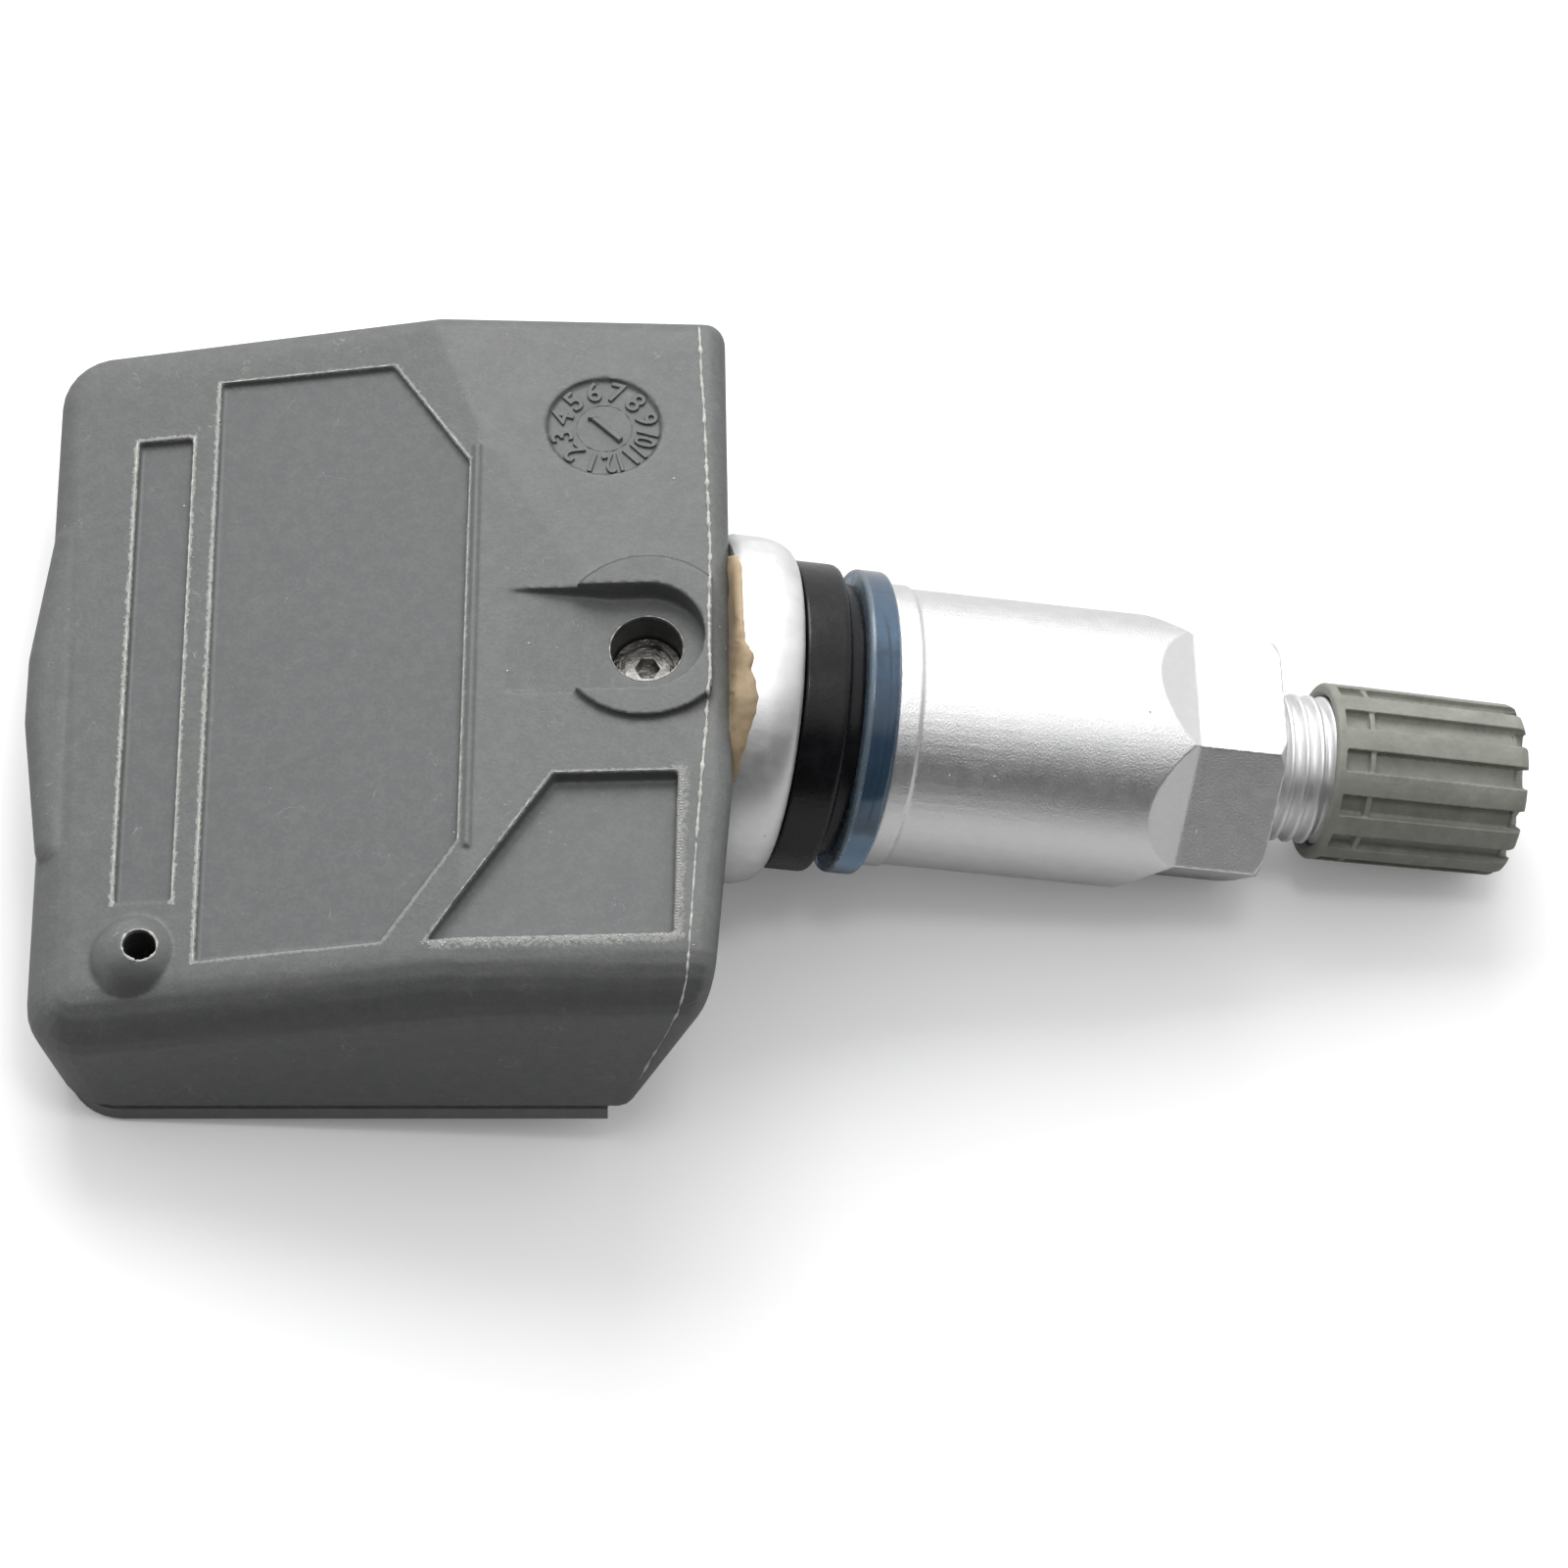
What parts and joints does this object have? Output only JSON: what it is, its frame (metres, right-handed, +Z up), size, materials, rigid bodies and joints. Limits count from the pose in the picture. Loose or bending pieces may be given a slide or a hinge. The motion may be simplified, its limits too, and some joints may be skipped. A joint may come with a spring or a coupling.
{
  "type": "tyre pressure sensor",
  "caption": "Tyre pressure sensor: flat moulded housing on a clamp-in aluminium valve stem with rubber grommet, washer, sleeve nut and ribbed cap.",
  "frame": {"origin": "bottom centre of the bounding box of the part as it lies on a table", "axes": "+X towards the valve cap along the table, +Y across the valve away from the label corner with the pressure nipple, +Z up from the table"},
  "size_m": [0.0773, 0.0402, 0.0185],
  "materials": {
    "housing_plastic": "moulded, fine grain",
    "cover_plastic": "moulded, fine grain",
    "board_laminate": "solder mask",
    "cell_steel": "satin",
    "tab_steel": "satin",
    "package_metal": "satin",
    "seal_rubber": "matt",
    "chip_black": "matt",
    "ferrite": "sintered",
    "copper": "enamelled wire",
    "antenna_metal": "plated",
    "ceramic": "matt",
    "stem_aluminium": "turned and blasted",
    "nut_aluminium": "turned and blasted",
    "screw_steel": "plated",
    "adhesive": "cured",
    "grommet_rubber": "satin",
    "washer_plastic": "translucent, blue",
    "core_brass": "turned",
    "core_seal_red": "matt",
    "spring_steel": "drawn wire",
    "cap_plastic": "moulded"
  },
  "bodies": {
    "sensor": {"housing": "housing_plastic", "base_cover": "cover_plastic", "circuit_board": "board_laminate", "battery": "cell_steel", "battery_tab_positive": "tab_steel", "battery_tab_negative": "tab_steel", "pressure_sensor_chip": "package_metal", "port_seal": "seal_rubber", "transmitter_chip": "chip_black", "crystal": "package_metal", "ferrite_core": "ferrite", "coil_winding": "copper", "antenna_strip": "antenna_metal", "chip_components": "ceramic", "valve_stem": "stem_aluminium", "stem_screw": "screw_steel", "adhesive_bead": "adhesive", "grommet": "grommet_rubber", "core_body": "core_brass", "core_seal": "core_seal_red", "core_spring": "spring_steel"},
    "washer": {"washer": "washer_plastic"},
    "nut": {"hex_nut": "nut_aluminium"},
    "seal_carrier": {"cap_seal": "seal_rubber"},
    "cap": {"cap": "cap_plastic"},
    "pin": {"core_pin": "core_brass", "core_cup": "seal_rubber"}
  },
  "joints": [
    {"name": "nut_travel", "type": "slide", "parent": "sensor", "child": "washer", "axis": [0.9932, 0, -0.1163], "range_m": [0, 0.00238]},
    {"name": "nut_turn", "type": "hinge", "parent": "washer", "child": "nut", "pos_m": [0.02257, 0, 0.0065], "axis": [0.9932, 0, -0.1163], "range_deg": [0, 1080]},
    {"name": "cap_travel", "type": "slide", "parent": "sensor", "child": "seal_carrier", "axis": [0.9932, 0, -0.1163], "range_m": [0, 0.0083]},
    {"name": "cap_turn", "type": "hinge", "parent": "seal_carrier", "child": "cap", "pos_m": [0.02257, 0, 0.0065], "axis": [0.9932, 0, -0.1163], "range_deg": [0, 3780]},
    {"name": "core_pin_press", "type": "slide", "parent": "sensor", "child": "pin", "axis": [-0.9932, 0, 0.1163], "range_m": [0, 0.0012], "stiffness_N_per_m": 600, "deforming": ["core_spring"]}
  ],
  "couplings": [
    {"joint": "nut_turn", "follows": "nut_travel", "rad_per_m": 7913.3},
    {"joint": "cap_turn", "follows": "cap_travel", "rad_per_m": 7913.3}
  ]
}
